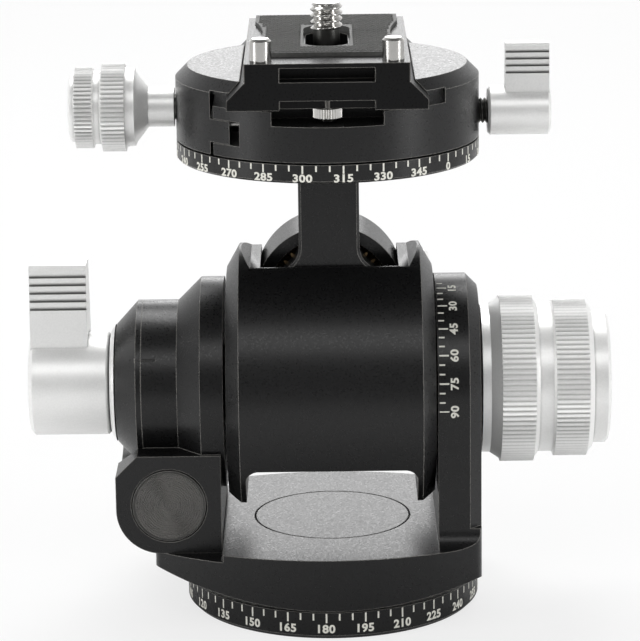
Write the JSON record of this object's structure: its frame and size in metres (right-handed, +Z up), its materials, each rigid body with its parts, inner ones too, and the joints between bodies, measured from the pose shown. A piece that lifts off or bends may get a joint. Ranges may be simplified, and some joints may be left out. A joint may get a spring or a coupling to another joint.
{
  "type": "geared tripod head",
  "caption": "Two-way geared tripod head with a U frame, a tilting drum, a rolling stem, panning base and a dovetail quick release clamp on top.",
  "frame": {"origin": "centre of the base's underside, at the mouth of the tripod socket", "axes": "+Z up along the base's pan axis, -Y towards the front, +X towards the large knurled knob"},
  "size_m": [0.1163, 0.0736, 0.122],
  "materials": {
    "black_anodised": "fine bead-blasted black anodising",
    "silver_anodised": "fine bead-blasted clear anodising",
    "steel": "bright turned stainless steel",
    "brass": "machined brass",
    "bronze": "plain bearing bronze",
    "dark_steel": "black oxide steel",
    "grip_rubber": "moulded fine weave",
    "brake_pad": "matt acetal"
  },
  "bodies": {
    "base": {"base_ring": "black_anodised", "pan_retainer": "steel", "pan_retainer_screws": "dark_steel"},
    "frame": {"frame_plate_and_arm": "black_anodised", "pan_cap": "black_anodised", "gear_housing": "black_anodised", "gear_housing_screws": "dark_steel", "gear_housing_cover": "black_anodised", "cover_screws": "dark_steel", "tilt_brake_pad": "brake_pad", "worm_bore_cap": "black_anodised", "tilt_worm_bushes": "bronze", "left_trunnion_bush": "bronze", "right_trunnion_bush": "bronze"},
    "base_lock": {"base_pan_lever": "silver_anodised", "base_pan_stud": "dark_steel"},
    "tilt_drive": {"tilt_worm": "dark_steel", "tilt_knob": "silver_anodised"},
    "tilt_lock": {"tilt_lock_lever": "silver_anodised", "tilt_lock_collar": "silver_anodised", "tilt_lock_stud": "dark_steel"},
    "cradle": {"cradle_drum": "black_anodised", "roll_housing": "black_anodised", "roll_brake_pad": "brake_pad", "roll_worm_bushes": "bronze", "tilt_worm_wheel": "brass"},
    "roll_drive": {"roll_worm": "dark_steel", "roll_knob": "silver_anodised", "roll_knob_cap": "silver_anodised"},
    "roll_lock": {"roll_lock_lever": "silver_anodised", "roll_lock_stud": "dark_steel"},
    "stem": {"stem": "black_anodised", "stem_screws": "dark_steel", "roll_axle": "steel", "roll_worm_wheel": "brass", "top_scale_ring": "black_anodised", "pan_retaining_screw": "dark_steel"},
    "clamp": {"clamp_body": "black_anodised"},
    "top_lock": {"top_pan_lever": "silver_anodised", "top_pan_stud": "dark_steel"},
    "jaw": {"clamp_jaw": "black_anodised", "jaw_guide_pins": "steel"},
    "clamp_drive": {"clamp_knob": "silver_anodised", "clamp_screw": "dark_steel"},
    "plate": {"release_plate": "black_anodised", "rubber_pad": "grip_rubber", "anti_twist_pins": "steel", "stop_screw": "steel"},
    "camera_fixing": {"camera_screw": "steel"}
  },
  "joints": [
    {"name": "base_pan", "type": "hinge", "parent": "base", "child": "frame", "pos_m": [0, 0, 0.0056], "axis": [0, 0, 1], "continuous": true},
    {"name": "base_pan_lock", "type": "hinge", "parent": "frame", "child": "base_lock", "pos_m": [0, 0.0312, 0.0087], "axis": [0, 1, 0], "range_deg": [-75, 0]},
    {"name": "tilt", "type": "hinge", "parent": "frame", "child": "cradle", "pos_m": [0, 0, 0.045], "axis": [1, 0, 0], "range_deg": [-30, 90]},
    {"name": "tilt_knob_turn", "type": "hinge", "parent": "frame", "child": "tilt_drive", "pos_m": [-0.03235, 0, 0.0248], "axis": [0, 1, 0], "range_deg": [-4330, 1450]},
    {"name": "tilt_lock_turn", "type": "hinge", "parent": "frame", "child": "tilt_lock", "pos_m": [-0.0433, 0, 0.045], "axis": [1, 0, 0], "range_deg": [-45, 45]},
    {"name": "roll", "type": "hinge", "parent": "cradle", "child": "stem", "pos_m": [0, 0, 0.0625], "axis": [0, 1, 0], "range_deg": [-20, 20]},
    {"name": "roll_knob_turn", "type": "hinge", "parent": "cradle", "child": "roll_drive", "pos_m": [0.0302, 0, 0.045], "axis": [1, 0, 0], "range_deg": [-745, 745]},
    {"name": "roll_lock_turn", "type": "hinge", "parent": "cradle", "child": "roll_lock", "pos_m": [0, 0.0143, 0.0625], "axis": [0, 1, 0], "range_deg": [-60, 0]},
    {"name": "top_pan", "type": "hinge", "parent": "stem", "child": "clamp", "pos_m": [0, 0, 0.0955], "axis": [0, 0, 1], "continuous": true},
    {"name": "top_pan_lock", "type": "hinge", "parent": "clamp", "child": "top_lock", "pos_m": [0.0317, 0, 0.1], "axis": [1, 0, 0], "range_deg": [-60, 60]},
    {"name": "jaw_slide", "type": "slide", "parent": "clamp", "child": "jaw", "axis": [1, 0, 0], "range_m": [-0.003, 0]},
    {"name": "clamp_knob_turn", "type": "hinge", "parent": "jaw", "child": "clamp_drive", "pos_m": [-0.0303, 0, 0.1015], "axis": [1, 0, 0], "range_deg": [-1355, 5]},
    {"name": "plate_slide", "type": "slide", "parent": "clamp", "child": "plate", "axis": [0, 1, 0], "range_m": [-0.04, 0.002]},
    {"name": "camera_screw_turn", "type": "hinge", "parent": "plate", "child": "camera_fixing", "pos_m": [0, 0, 0.106], "axis": [0, 0, 1], "continuous": true}
  ],
  "couplings": [
    {"joint": "tilt_knob_turn", "follows": "tilt", "ratio": -48},
    {"joint": "roll_knob_turn", "follows": "roll", "ratio": 37},
    {"joint": "clamp_knob_turn", "follows": "jaw_slide", "rad_per_m": 7854}
  ]
}
